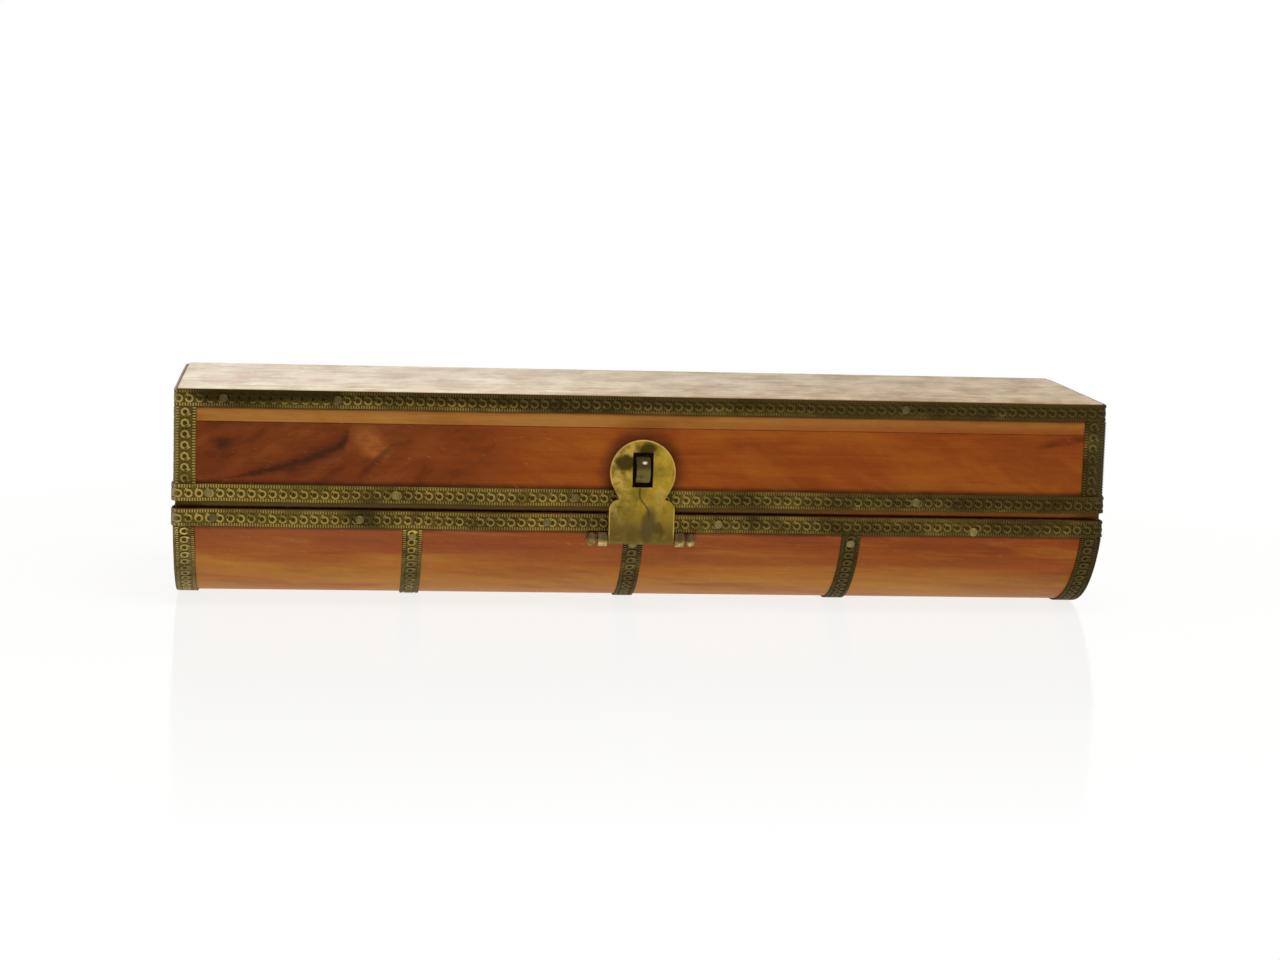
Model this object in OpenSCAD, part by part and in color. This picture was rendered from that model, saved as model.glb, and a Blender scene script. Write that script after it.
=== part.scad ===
// Fountain pen case: a long wooden box with a hinged barrel lid, trimmed with stamped brass ribbon and
// shut by a hinged hasp over a staple. Millimetres, +Z up, +X along the length, the hasp towards -Y.
// The origin is the middle of the base's underside.

/* [Wooden case] */
// Length of the wooden case
case_l = 239; // [180:1:300]
// Depth of the wooden case, front to back
case_w = 64; // [56:1:84]
// Height of the base, from its underside to its lip
base_h = 30.4; // [27:0.2:45]
// Thickness of the bottom board
floor_t = 8.4; // [3:0.2:10]
// Thickness of the walls, the ends and the barrel
wall_t = 5; // [4:0.5:8]
// Gap between the base and the shut lid
lid_gap = 0.3; // [0.3:0.1:0.6]

/* [Barrel lid] */
// Height of the lid, from the joint to the crown
lid_h = 25.8; // [22:0.2:32]
// Height of the lid's straight sides, below the curve
lid_side_h = 4.7; // [4.7:0.1:6.5]
// Glue line between a curved face and the piece on it
glue_gap = 0.02; // [0.02:0.01:0.05]

/* [Brass ribbon] */
// Width of the ribbon
band_w = 4.4; // [3:0.1:4.5]
// Thickness of the ribbon
band_t = 0.5; // [0.3:0.1:0.6]
// Bare wood below the foot ribbon
foot_inset = 0.4; // [0.2:0.1:2]
// Bare wood between the base's rim ribbon and its lip
rim_inset = 1.5; // [0.5:0.1:3]
// Bare wood between the lid's rim ribbon and its lower edge
lid_inset = 0.2; // [0.1:0.1:0.3]
// Width of a corner strip on each face
corner_w = 5.2; // [4:0.1:8]
// Width of a strap over the barrel
strap_w = 5; // [3:0.1:8]
// Distance between neighbouring straps
strap_pitch = 56.7; // [40:0.1:80]
// How far the middle strap lies to the right of the middle
strap_shift = 2.7; // [-8:0.1:8]
// Width of an arch strip's fold over the lid's end
arch_fold = 4.7; // [3:0.1:8]

/* [Nails] */
// Diameter of a nail's head
nail_d = 2.2; // [1.4:0.1:3]
// Height of a nail's head
nail_h = 0.5; // [0.3:0.1:0.8]

/* [Hasp] */
// How far the hasp lies to the right of the middle
hasp_x = 1; // [-20:0.5:20]
// Width of the hasp's plate and of its round lobe
hasp_w = 16.9; // [14:0.1:20]
// Width of the hasp's waist
waist_w = 11.7; // [8:0.1:13]
// Thickness of the hasp's plate
hasp_t = 0.8; // [0.6:0.1:1]
// Length from the hasp's pin to the end of its lobe
hasp_drop = 25.9; // [22:0.1:27]
// Width of the slot
slot_w = 5.2; // [4.6:0.1:7]
// Height of the slot
slot_h = 9; // [8:0.1:10]

/* [Hasp pin and eyelets] */
// Diameter of the hasp's pin
hasp_pin_d = 1.2; // [0.8:0.1:1.4]
// Height of the hasp's pin above the lid's lower edge
hasp_pin_h = 6.4; // [5.8:0.1:8]
// Outer diameter of the hasp's rolled edge
roll_d = 2.5; // [2:0.1:3]
// Outer diameter of an eyelet
eyelet_d = 3.6; // [3:0.1:3.9]
// Width of an eyelet along the pin
eyelet_w = 2.3; // [1.5:0.1:3]
// Diameter of an eyelet's shank
shank_d = 1.4; // [1:0.1:2]
// Depth of the shank in the barrel
shank_depth = 3.5; // [2:0.1:3.8]
// Diameter of a knob at the pin's end
knob_d = 3.4; // [2.6:0.1:4]
// Width of a knob at the pin's end
knob_w = 2.8; // [1.5:0.1:4]

/* [Staple] */
// Width of the staple's bar
staple_w = 3.6; // [2.5:0.1:4]
// Thickness of the staple's bar
staple_t = 1.2; // [0.8:0.1:1.5]
// Height of the staple's loop
staple_h = 6.7; // [5:0.1:7]
// How far the loop stands out past the hasp
staple_reach = 2.2; // [1.6:0.1:4]
// Depth of the staple's legs in the front wall
staple_depth = 3.5; // [2:0.1:3.8]

/* [Hinges] */
// Distance from the case's end to the middle of the hinge near it
hinge_inset = 44.5; // [20:0.5:60]
// Length of a hinge
hinge_l = 18; // [12:1:30]
// Height of a hinge leaf, from the pin
leaf_h = 6; // [5:0.1:6.5]
// Thickness of a hinge leaf
leaf_t = 0.8; // [0.5:0.1:1]
// Outer diameter of a hinge's knuckles
knuckle_d = 3.6; // [3.2:0.1:4.4]
// Diameter of a hinge's pin
hinge_pin_d = 1.8; // [1.2:0.1:2]
// Distance between a leaf's two nails
leaf_nail_pitch = 12; // [8:0.5:14]

/* [Fits] */
// Radial clearance of a pin in a piece that turns on it
run_gap = 0.07; // [0.03:0.01:0.1]
// Radial clearance of a pin in the piece that holds it
hold_gap = 0.03; // [0.02:0.01:0.06]
// Clearance between pieces that turn past each other
turn_gap = 0.3; // [0.3:0.05:0.5]

/* [Hidden] */
$fn = 64;
wood = "sienna";
pale_wood = "peru";
ribbon = "darkolivegreen";
brass = "goldenrod";
left = -1;
right = 1;
front = -1;
back = 1;
past = 1; // how far a cut runs past a face

// Levels
lid_z = base_h + lid_gap;
joint_z = base_h + lid_gap / 2;
rim_band_z = base_h - rim_inset - band_w;
lid_band_top = lid_inset + band_w;
foot_nail_z = foot_inset + band_w / 2;
rim_nail_z = rim_band_z + band_w / 2;
lid_nail_z = lid_z + lid_inset + band_w / 2;

// The barrel's arc, measured from the lid's lower edge
barrel_rise = lid_h - lid_side_h;
barrel_r = (pow(case_w / 2, 2) + pow(barrel_rise, 2)) / (2 * barrel_rise);
barrel_cz = lid_h - barrel_r;

// Nails, as shares of half the length or half the depth
foot_nails_at = [0.9, 0.66, -0.56];
rim_nails_at = [0.93, 0.535, 0.15, -0.59];
lid_nails_at = [0.92, 0.61, 0.21, -0.16];
back_nails_at = [0.92, 0.3, -0.3, -0.92];
end_nails_at = [0.6, -0.6];
strap_nails_h = [7.2, 8, 6.8]; // heights of the straps' nails above the lid's lower edge
high_nail_at = -0.72; // one nail of the lid's front sits higher than the others
high_nail_rise = 1.1;

// The hasp: its rolled edge runs just clear of the middle strap, behind the plate
band_face = case_w / 2 + band_t;
pin_from_axis = barrel_r + band_t + turn_gap + roll_d / 2;
hasp_pin_y = -sqrt(pow(pin_from_axis, 2) - pow(hasp_pin_h - barrel_cz, 2));
hasp_pin_z = lid_z + hasp_pin_h;
hasp_face_y = hasp_pin_y - roll_d / 2;
hasp_back_y = hasp_face_y + hasp_t;
lobe_r = hasp_w / 2;
lobe_z = hasp_pin_z - hasp_drop + lobe_r;
flank_turn = 27.6; // where the lobe's edge turns straight, in degrees above its middle
flank_x = lobe_r * cos(flank_turn);
flank_z = lobe_z + lobe_r * sin(flank_turn);
waist_z = flank_z + (flank_x - waist_w / 2) / tan(flank_turn);
shoulder_r = (hasp_w - waist_w) / 2;
eyelet_x = hasp_w / 2 + turn_gap + eyelet_w / 2;
knob_x = eyelet_x + eyelet_w / 2 + turn_gap + knob_w / 2;
staple_z = lobe_z - 0.7; // the loop stands just below the lobe's middle
staple_tip_y = hasp_face_y - staple_reach;

// The hinges: their axis lies behind the back, level with the joint
hinge_x = case_l / 2 - hinge_inset;
hinge_y = band_face + turn_gap + knuckle_d / 2;
knuckle_l = (hinge_l - 2 * turn_gap) / 3;

// The barrel's outline in Y and Z, grown outwards by a distance, from a level upwards
module barrel_outline(grow = 0, low = 0) {
    intersection() {
        translate([0, barrel_cz]) circle(r = barrel_r + grow, $fn = 128);
        translate([-case_w / 2 - grow, low]) square([case_w + 2 * grow, lid_h + grow + past - low]);
    }
}

// A strip of the given thickness that follows the barrel down to the rim ribbon
module barrel_strip(inner, outer) {
    difference() {
        barrel_outline(outer, lid_band_top);
        barrel_outline(inner, lid_band_top - past);
    }
}

// Extrudes an outline in Y and Z along X, from x0 over a length, on the lid
module lid_extrude(x0, length) {
    translate([x0, 0, lid_z]) rotate([90, 0, 90]) linear_extrude(length) children();
}

// A ribbon that runs round all four sides
module band_ring(z) {
    difference() {
        translate([-case_l / 2 - band_t, -band_face, z])
            cube([case_l + 2 * band_t, 2 * band_face, band_w]);
        translate([-case_l / 2, -case_w / 2, z - past]) cube([case_l, case_w, band_w + 2 * past]);
    }
}

// A domed nail head on the XY plane
module nail_head() {
    dome_r = (pow(nail_d / 2, 2) + pow(nail_h, 2)) / (2 * nail_h);
    rotate_extrude($fn = 32) intersection() {
        translate([0, nail_h - dome_r]) circle(r = dome_r);
        square([nail_d / 2, nail_h]);
    }
}

// Nails in a ribbon ring: along the front, along the back and on both ends
module ring_nails(front_at, back_at, z) {
    for (at = front_at)
        translate([at * case_l / 2, -band_face, z]) rotate([90, 0, 0]) nail_head();
    for (at = back_at)
        translate([at * case_l / 2, band_face, z]) rotate([-90, 0, 0]) nail_head();
    for (side = [left, right], at = end_nails_at)
        translate([side * (case_l / 2 + band_t), at * case_w / 2, z])
            rotate([0, side * 90, 0]) nail_head();
}

module base_floor() {
    color(pale_wood) translate([-case_l / 2, -case_w / 2, 0]) cube([case_l, case_w, floor_t]);
}

// A long wall of the base, with the staple's mortises if it is the front one
module base_long_wall(side) {
    color(wood) difference() {
        translate([-case_l / 2, side > 0 ? case_w / 2 - wall_t : -case_w / 2, floor_t])
            cube([case_l, wall_t, base_h - floor_t]);
        if (side == front) staple_legs();
    }
}

module base_end(side) {
    color(wood) translate([side > 0 ? case_l / 2 - wall_t : -case_l / 2, -case_w / 2 + wall_t, floor_t])
        cube([wall_t, case_w - 2 * wall_t, base_h - floor_t]);
}

// A ribbon folded round an upright corner, from the foot ribbon to the rim ribbon
module corner_strip(x_side, y_side) {
    z0 = foot_inset + band_w;
    width = corner_w + band_t;
    color(ribbon) scale([x_side, y_side, 1]) difference() {
        translate([case_l / 2 - corner_w, case_w / 2 - corner_w, z0])
            cube([width, width, rim_band_z - z0]);
        translate([case_l / 2 - corner_w - past, case_w / 2 - corner_w - past, z0 - past])
            cube([corner_w + past, corner_w + past, rim_band_z - z0 + 2 * past]);
    }
}

// The staple's two flat legs, as they stand in the front wall
module staple_legs() {
    for (z = [staple_z - staple_h / 2, staple_z + staple_h / 2 - staple_t])
        translate([hasp_x - staple_w / 2, -case_w / 2 - past, z])
            cube([staple_w, staple_depth + past, staple_t]);
}

// A flat bar bent round into a loop, with its legs in the front wall
module staple() {
    bend_r = staple_h / 2;
    bend_y = staple_tip_y + bend_r;
    leg_l = -case_w / 2 + staple_depth - bend_y;
    color(brass) translate([hasp_x - staple_w / 2, 0, staple_z])
        rotate([90, 0, 90]) linear_extrude(staple_w) difference() {
            union() {
                translate([bend_y, 0]) circle(r = bend_r);
                translate([bend_y, -bend_r]) square([leg_l, staple_h]);
            }
            translate([bend_y, 0]) circle(r = bend_r - staple_t);
            translate([bend_y, -bend_r + staple_t]) square([leg_l + past, staple_h - 2 * staple_t]);
        }
}

module lid_barrel_panel() {
    color(wood) difference() {
        lid_extrude(-case_l / 2, case_l) difference() {
            barrel_outline();
            barrel_outline(-wall_t, -past);
        }
        for (side = [left, right]) eyelet_shank(side);
    }
}

// A D-shaped board that closes the barrel's end from inside
module lid_end(side) {
    color(wood) lid_extrude(side > 0 ? case_l / 2 - wall_t : -case_l / 2, wall_t)
        barrel_outline(-wall_t - glue_gap);
}

module lid_strap(x) {
    color(ribbon) lid_extrude(x - strap_w / 2, strap_w) barrel_strip(glue_gap, band_t);
}

// A strap at the lid's end, folded over the end's edge
module lid_arch(side) {
    color(ribbon) scale([side, 1, 1]) {
        lid_extrude(case_l / 2 - strap_w, strap_w) barrel_strip(glue_gap, band_t);
        lid_extrude(case_l / 2, band_t) barrel_strip(-arch_fold, band_t);
    }
}

// The nails in the lid's rim ribbon, one of them set nearer the ribbon's upper edge
module lid_rim_nails() {
    color(brass) {
        ring_nails(lid_nails_at, back_nails_at, lid_nail_z);
        translate([high_nail_at * case_l / 2, -band_face, lid_nail_z + high_nail_rise])
            rotate([90, 0, 0]) nail_head();
    }
}

// Two nails in each strap, just above the rim ribbon, square to the curve
module lid_strap_nails() {
    nail_r = barrel_r + band_t;
    color(brass) for (k = [0:2], side = [front, back]) {
        rise = strap_nails_h[k] - barrel_cz;
        angle = asin(rise / nail_r);
        translate([
            strap_shift + (k - 1) * strap_pitch, side * nail_r * cos(angle), lid_z + strap_nails_h[k]
        ])
            rotate([-side * (90 - angle), 0, 0]) nail_head();
    }
}

// One hinge leaf that stands up or down from the pin: dir 1 is the lid's, dir -1 is the base's
module hinge_leaf(side, dir) {
    x0 = side * hinge_x - hinge_l / 2;
    step = knuckle_l + turn_gap;
    own = dir > 0 ? [1] : [0, 2];
    other = dir > 0 ? [0, 2] : [1];
    bore_r = hinge_pin_d / 2 + (dir > 0 ? run_gap : hold_gap);
    color(brass) difference() {
        union() {
            difference() {
                translate([x0, band_face, dir > 0 ? joint_z : joint_z - leaf_h])
                    cube([hinge_l, leaf_t, leaf_h]);
                for (k = other)
                    translate([x0 + k * step - turn_gap, hinge_y, joint_z]) rotate([0, 90, 0])
                        cylinder(r = knuckle_d / 2 + turn_gap, h = knuckle_l + 2 * turn_gap);
            }
            for (k = own)
                translate([x0 + k * step, hinge_y, joint_z]) rotate([0, 90, 0])
                    cylinder(d = knuckle_d, h = knuckle_l);
        }
        translate([x0 - past, hinge_y, joint_z]) rotate([0, 90, 0])
            cylinder(r = bore_r, h = hinge_l + 2 * past);
    }
}

module hinge_pin(side) {
    color(brass) translate([side * hinge_x - hinge_l / 2, hinge_y, joint_z])
        rotate([0, 90, 0]) cylinder(d = hinge_pin_d, h = hinge_l);
}

module hinge_nails(z) {
    color(brass) for (side = [left, right], end = [left, right])
        translate([side * hinge_x + end * leaf_nail_pitch / 2, band_face + leaf_t, z])
            rotate([-90, 0, 0]) nail_head();
}

// An eyelet's shank, from inside its ring into the barrel
module eyelet_shank(side) {
    ring_r = (eyelet_d + hasp_pin_d) / 4 + hold_gap;
    tip_y = -barrel_half_width(hasp_pin_h) + shank_depth;
    translate([hasp_x + side * eyelet_x, hasp_pin_y + ring_r, hasp_pin_z]) rotate([-90, 0, 0])
        cylinder(d = shank_d, h = tip_y - hasp_pin_y - ring_r);
}

// Half the barrel's outer width at a height above the lid's lower edge
function barrel_half_width(h) = sqrt(pow(barrel_r, 2) - pow(h - barrel_cz, 2));

module hasp_eyelet(side) {
    color(brass) {
        eyelet_shank(side);
        translate([hasp_x + side * eyelet_x - eyelet_w / 2, hasp_pin_y, hasp_pin_z])
            rotate([0, 90, 0]) difference() {
                cylinder(d = eyelet_d, h = eyelet_w);
                translate([0, 0, -past])
                    cylinder(r = hasp_pin_d / 2 + hold_gap, h = eyelet_w + 2 * past);
            }
    }
}

// The hasp's pin, with a round knob at each end
module hasp_pin() {
    half_l = knob_x - knob_w / 2;
    color(brass) translate([hasp_x, hasp_pin_y, hasp_pin_z]) rotate([0, 90, 0]) {
        translate([0, 0, -half_l]) cylinder(d = hasp_pin_d, h = 2 * half_l);
        for (side = [left, right])
            translate([0, 0, side * knob_x - knob_w / 2]) cylinder(d = knob_d, h = knob_w);
    }
}

// The hasp's outline in X and Z: a lobe that narrows to a waist, and a body with round shoulders
module hasp_outline() {
    difference() {
        union() {
            translate([0, lobe_z]) circle(r = lobe_r, $fn = 96);
            polygon([
                [-flank_x, flank_z], [flank_x, flank_z],
                [waist_w / 2, waist_z], [-waist_w / 2, waist_z],
            ]);
            for (side = [left, right])
                translate([side * waist_w / 2, waist_z + shoulder_r]) circle(r = shoulder_r);
            translate([-waist_w / 2, waist_z]) square([waist_w, shoulder_r]);
            translate([-hasp_w / 2, waist_z + shoulder_r])
                square([hasp_w, hasp_pin_z - waist_z - shoulder_r]);
        }
        translate([-slot_w / 2, staple_z - slot_h / 2]) square([slot_w, slot_h]);
    }
}

// The hasp: a flat plate whose upper edge is rolled back round the pin
module hasp_plate() {
    color(brass) translate([hasp_x, 0, 0]) difference() {
        union() {
            translate([0, hasp_back_y, 0]) rotate([90, 0, 0]) linear_extrude(hasp_t) hasp_outline();
            translate([-hasp_w / 2, hasp_pin_y, hasp_pin_z]) rotate([0, 90, 0])
                cylinder(d = roll_d, h = hasp_w);
        }
        translate([-hasp_w / 2 - past, hasp_pin_y, hasp_pin_z]) rotate([0, 90, 0])
            cylinder(r = hasp_pin_d / 2 + run_gap, h = hasp_w + 2 * past);
    }
}

base_floor();
base_long_wall(front);  // base_front_wall
base_long_wall(back);  // base_back_wall
base_end(left);  // base_left_end
base_end(right);  // base_right_end
color(ribbon) band_ring(foot_inset);  // base_foot_band
color(ribbon) band_ring(rim_band_z);  // base_rim_band
corner_strip(left, front);  // base_corner_front_left
corner_strip(right, front);  // base_corner_front_right
corner_strip(left, back);  // base_corner_back_left
corner_strip(right, back);  // base_corner_back_right
color(brass) ring_nails(foot_nails_at, back_nails_at, foot_nail_z);  // base_foot_nails
color(brass) ring_nails(rim_nails_at, back_nails_at, rim_nail_z);  // base_rim_nails
staple();
hinge_leaf(left, -1);  // base_hinge_leaf_left
hinge_leaf(right, -1);  // base_hinge_leaf_right
hinge_pin(left);  // hinge_pin_left
hinge_pin(right);  // hinge_pin_right
hinge_nails(rim_nail_z);  // base_hinge_nails
lid_barrel_panel();
lid_end(left);  // lid_left_end
lid_end(right);  // lid_right_end
color(ribbon) band_ring(lid_z + lid_inset);  // lid_rim_band
lid_arch(left);  // lid_arch_left
lid_arch(right);  // lid_arch_right
lid_strap(strap_shift - strap_pitch);  // lid_strap_left
lid_strap(strap_shift);  // lid_strap_middle
lid_strap(strap_shift + strap_pitch);  // lid_strap_right
lid_rim_nails();
lid_strap_nails();
hinge_leaf(left, 1);  // lid_hinge_leaf_left
hinge_leaf(right, 1);  // lid_hinge_leaf_right
hinge_nails(lid_nail_z);  // lid_hinge_nails
hasp_eyelet(left);  // hasp_eyelet_left
hasp_eyelet(right);  // hasp_eyelet_right
hasp_pin();
hasp_plate();
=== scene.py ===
import math

import bmesh
import bpy
from mathutils import Matrix, Vector


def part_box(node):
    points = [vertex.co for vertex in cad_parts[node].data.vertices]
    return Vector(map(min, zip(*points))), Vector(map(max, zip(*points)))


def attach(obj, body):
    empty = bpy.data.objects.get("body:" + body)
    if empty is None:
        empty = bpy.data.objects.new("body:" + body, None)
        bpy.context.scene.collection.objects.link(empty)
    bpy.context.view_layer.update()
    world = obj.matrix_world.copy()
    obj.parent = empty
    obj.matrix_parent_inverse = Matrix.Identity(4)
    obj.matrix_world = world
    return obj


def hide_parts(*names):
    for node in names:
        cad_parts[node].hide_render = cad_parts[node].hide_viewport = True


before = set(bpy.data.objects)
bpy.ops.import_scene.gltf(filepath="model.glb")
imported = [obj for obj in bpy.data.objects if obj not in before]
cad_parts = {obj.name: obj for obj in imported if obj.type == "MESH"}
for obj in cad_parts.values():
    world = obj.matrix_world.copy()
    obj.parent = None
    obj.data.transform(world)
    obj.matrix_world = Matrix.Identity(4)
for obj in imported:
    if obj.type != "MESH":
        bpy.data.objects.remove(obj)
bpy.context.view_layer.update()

MM = 0.001


# ---------------------------------------------------------------- sizes in millimetres, from the frame
# Left is -X, right is +X and the front is -Y.

def node_box(node):
    """A node's lowest and highest corners."""
    low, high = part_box(node)
    return low / MM, high / MM


_, board_high = node_box("base_floor")
_, foot_high = node_box("base_foot_band")
_, rim_high = node_box("base_rim_band")
lid_low, lid_high = node_box("lid_barrel_panel")
_, lid_rim_high = node_box("lid_rim_band")
strap_low, strap_high = node_box("lid_strap_middle")
corner_low, corner_high = node_box("base_corner_front_left")
hasp_low, hasp_high = node_box("hasp_plate")

HALF_LENGTH = lid_high.x
HALF_DEPTH = lid_high.y
BOARD_TOP = board_high.z
FOOT_TOP = foot_high.z
RIM_TOP = rim_high.z
LID_BOTTOM = lid_low.z
LID_RIM_TOP = lid_rim_high.z
CROWN_Z = lid_high.z
RIBBON_THICKNESS = lid_rim_high.x - HALF_LENGTH
STRAP_WIDTH = strap_high.x - strap_low.x
CORNER_WIDTH = corner_high.x - corner_low.x - RIBBON_THICKNESS
ARCH_FOLD = 4.7       # how far a ribbon over the barrel's end is folded down its end board
FOLD_RADIUS = 1.1     # of boards and ribbons at the case's upright corners

# The hasp's round end, and its pin
HASP_X = (hasp_low.x + hasp_high.x) / 2
LOBE_RADIUS = (hasp_high.x - hasp_low.x) / 2
LOBE_Z = hasp_low.z + LOBE_RADIUS
PIN_RADIUS = 0.6
BEAD_WIDTH = 2.8

# The barrel's arc, which starts above the lid's straight sides
LID_SIDE = 4.7
BARREL_RISE = CROWN_Z - LID_BOTTOM - LID_SIDE
BARREL_RADIUS = (HALF_DEPTH ** 2 + BARREL_RISE ** 2) / (2 * BARREL_RISE)
BARREL_CENTRE_Z = CROWN_Z - BARREL_RADIUS
ARCH_START = math.asin((LID_RIM_TOP - BARREL_CENTRE_Z) / BARREL_RADIUS)
ARCH_SWEEP = math.pi - 2 * ARCH_START


# ---------------------------------------------------------------- camera

CAMERA_YAW = -5.98        # in degrees
CAMERA_PITCH = -7.77
CAMERA_ROLL = -1.67
CAMERA_PLACE = (80.9, -790.5, -82.2)
CAMERA_LENS = 84.375      # on a sensor of the width below
SENSOR_WIDTH = 36


def add_camera():
    """The main view, of the case as if it stood on its barrel: the camera hangs upside down below it."""
    data = bpy.data.cameras.new("camera")
    data.sensor_width = SENSOR_WIDTH
    data.lens = CAMERA_LENS
    data.clip_start = 0.01
    camera = bpy.data.objects.new("camera", data)
    bpy.context.collection.objects.link(camera)
    turn = (
        Matrix.Rotation(math.pi, 4, "Y")
        @ Matrix.Rotation(math.radians(CAMERA_YAW), 4, "Z")
        @ Matrix.Rotation(math.radians(CAMERA_PITCH), 4, "X")
        @ Matrix.Rotation(math.radians(CAMERA_ROLL), 4, "Y")
        @ Matrix.Rotation(math.radians(90), 4, "X")
    )
    camera.matrix_world = Matrix.Translation(Vector(CAMERA_PLACE) * MM) @ turn
    bpy.context.scene.camera = camera


# ---------------------------------------------------------------- shader maths

class Value:
    """A socket in a node tree, with Python's operators as Math nodes."""

    def __init__(self, nodes, socket):
        self.nodes = nodes
        self.socket = socket

    def math(self, operation, *others, clamp=False):
        settings = {"operation": operation, "use_clamp": clamp}
        return self.nodes.add("ShaderNodeMath", settings, {0: self, **dict(enumerate(others, 1))})

    def __add__(self, other):
        return self.math("ADD", other)

    def __radd__(self, other):
        return self.math("ADD", other)

    def __sub__(self, other):
        return self.math("SUBTRACT", other)

    def __rsub__(self, other):
        return (self * -1) + other

    def __mul__(self, other):
        return self.math("MULTIPLY", other)

    def __rmul__(self, other):
        return self.math("MULTIPLY", other)

    def __truediv__(self, other):
        return self.math("DIVIDE", other)

    def __abs__(self):
        return self.math("ABSOLUTE")

    def clamped(self):
        return self.math("ADD", 0, clamp=True)

    def higher(self, other):
        return self.math("MAXIMUM", other)

    def step(self, start, end):
        """0 before start, 1 after end, and a smooth rise between them."""
        settings = {"interpolation_type": "SMOOTHSTEP"}
        return self.nodes.add("ShaderNodeMapRange", settings,
                              {"Value": self, "From Min": start, "From Max": end})


MIX_FIRST, MIX_SECOND, MIX_RESULT = 6, 7, 2   # a Mix node's sockets for colours


class Nodes:
    """A node tree whose nodes are added by type, settings and inputs."""

    def __init__(self, tree):
        self.tree = tree
        self.tree.nodes.clear()

    def add(self, kind, settings=None, inputs=None, output=0):
        """A new node, given as the Value of one of its outputs."""
        node = self.tree.nodes.new(kind)
        for key, value in (settings or {}).items():
            if key == "stops":
                self.set_stops(node.color_ramp, value)
            else:
                setattr(node, key, value)
        for key, value in (inputs or {}).items():
            if isinstance(value, Value):
                self.tree.links.new(value.socket, node.inputs[key])
            else:
                node.inputs[key].default_value = value
        return Value(self, node.outputs[output]) if len(node.outputs) else node

    @staticmethod
    def set_stops(ramp, stops):
        while len(ramp.elements) < len(stops):
            ramp.elements.new(0.5)
        for element, (place, colour) in zip(ramp.elements, stops):
            element.position = place
            element.color = (*colour, 1)


class Shader(Nodes):
    """A new material, whose patterns are sized and placed in millimetres."""

    def __init__(self, name):
        self.material = bpy.data.materials.new(name)
        self.material.use_nodes = True
        super().__init__(self.material.node_tree)

    def mix(self, factor, first, second):
        """A colour between two colours."""
        first, second = (c if isinstance(c, Value) else (*c, 1) for c in (first, second))
        return self.add("ShaderNodeMix", {"data_type": "RGBA"},
                        {"Factor": factor, MIX_FIRST: first, MIX_SECOND: second}, output=MIX_RESULT)

    def tint(self, colour, amount):
        """A colour made darker or lighter by a number."""
        grey = self.add("ShaderNodeCombineColor", {}, {0: amount, 1: amount, 2: amount})
        return self.add("ShaderNodeMix", {"data_type": "RGBA", "blend_type": "MULTIPLY"},
                        {"Factor": 1, MIX_FIRST: colour, MIX_SECOND: grey}, output=MIX_RESULT)

    def place(self, size=(1, 1, 1), turn=(0, 0, 0), shift=(0, 0, 0)):
        """Object coordinates, counted in steps of a pattern's size and turned with it, in degrees."""
        spot = self.add("ShaderNodeTexCoord", output="Object")
        return self.add("ShaderNodeMapping", {"vector_type": "TEXTURE"},
                        {"Vector": spot, "Scale": tuple(s * MM for s in size),
                         "Rotation": tuple(math.radians(t) for t in turn),
                         "Location": tuple(s * MM for s in shift)})

    def axes(self):
        """X, Y and Z of the place on the object."""
        parts = self.tree.nodes.new("ShaderNodeSeparateXYZ")
        self.tree.links.new(self.place().socket, parts.inputs[0])
        return tuple(Value(self, parts.outputs[i]) for i in range(3))

    def noise(self, size, turn=(0, 0, 0), shift=(0, 0, 0), detail=3.0, roughness=0.5, distortion=0.0):
        """Noise whose patches have about the given size."""
        return self.add("ShaderNodeTexNoise", {"noise_dimensions": "3D"},
                        {"Vector": self.place(size, turn, shift), "Scale": 1.0, "Detail": detail,
                         "Roughness": roughness, "Distortion": distortion})

    def bump(self, height, strength, distance):
        return self.add("ShaderNodeBump", {},
                        {"Height": height, "Strength": strength, "Distance": distance * MM})

    def finish(self, **inputs):
        """Ends the material in a Principled surface."""
        names = {key.replace("_", " ").title().replace("Ior", "IOR"): value
                 for key, value in inputs.items()}
        surface = self.add("ShaderNodeBsdfPrincipled", {}, names)
        self.add("ShaderNodeOutputMaterial", {}, {"Surface": surface})
        return self.material


# ---------------------------------------------------------------- colours, as linear red, green and blue

RED_WOOD = {"dark": (0.165, 0.035, 0.0055), "middle": (0.242, 0.053, 0.0062),
            "light": (0.285, 0.077, 0.0095)}
PALE_WOOD = {"dark": (0.23, 0.078, 0.014), "middle": (0.3, 0.118, 0.023),
             "light": (0.35, 0.155, 0.036)}
SCUFFED_WOOD = (0.44, 0.2, 0.075)
# a black stain in the wood's figure, also used as painted contact shade along the ribbons
BLACK_STAIN_AND_SHADE = (0.03, 0.0105, 0.004)
OLIVE_LIP = (0.066, 0.044, 0.0095)
DARKER_BROWN = (0.042, 0.025, 0.007)

# Front wall
RED_STAIN = (0.115, 0.0245, 0.0062)
ROSE_FIGURE = (0.2, 0.052, 0.013)
DARK_FIGURE = (0.07, 0.016, 0.005)
STREAK_SHADE = (0.06, 0.016, 0.0055)
PALE_FLAME = (0.275, 0.086, 0.0175)
FLAME_SHADE = (0.07, 0.017, 0.006)
BROWN_SMUDGE = (0.06, 0.014, 0.005)
RED_BLUSH = (0.205, 0.042, 0.0062)
ORANGE_BLUSH = (0.3, 0.085, 0.0095)
# painted shadow of the standing-off hasp round its lobe, and painted shade behind the lobe
HASP_SHADOW = (0.06, 0.015, 0.0045)
UNDER_HASP_SHADE = (0.02, 0.008, 0.003)

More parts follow.
